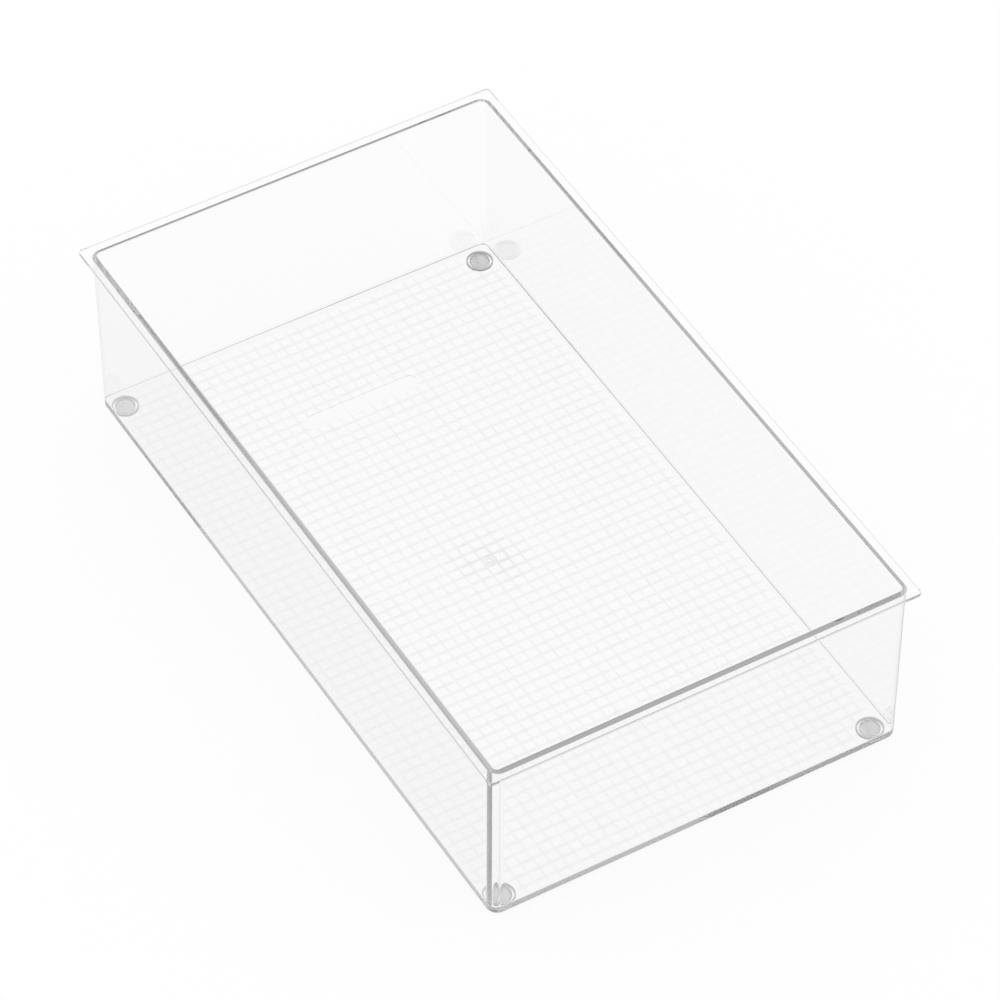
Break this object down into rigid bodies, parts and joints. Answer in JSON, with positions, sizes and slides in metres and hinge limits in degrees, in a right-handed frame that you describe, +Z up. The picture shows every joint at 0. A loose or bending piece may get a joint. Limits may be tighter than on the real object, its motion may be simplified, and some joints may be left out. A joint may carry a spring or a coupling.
{
  "type": "drawer organizer tray",
  "caption": "Open rectangular tray of clear plastic with a thin turned-out rim, upright walls, a fine square grid in the floor and small soft round feet.",
  "frame": {"origin": "middle of the table area under the tray, level with the undersides of the feet", "axes": "+X across the tray, +Y along it towards the end with the plain oblong, +Z up out of the opening"},
  "size_m": [0.1778, 0.3056, 0.0792],
  "materials": {
    "tray": "crystal clear, polished",
    "foot_pad": "translucent grey, satin"
  },
  "bodies": {
    "root": {"tray": "tray", "foot_pad_1": "foot_pad", "foot_pad_2": "foot_pad", "foot_pad_3": "foot_pad", "foot_pad_4": "foot_pad"}
  },
  "joints": []
}
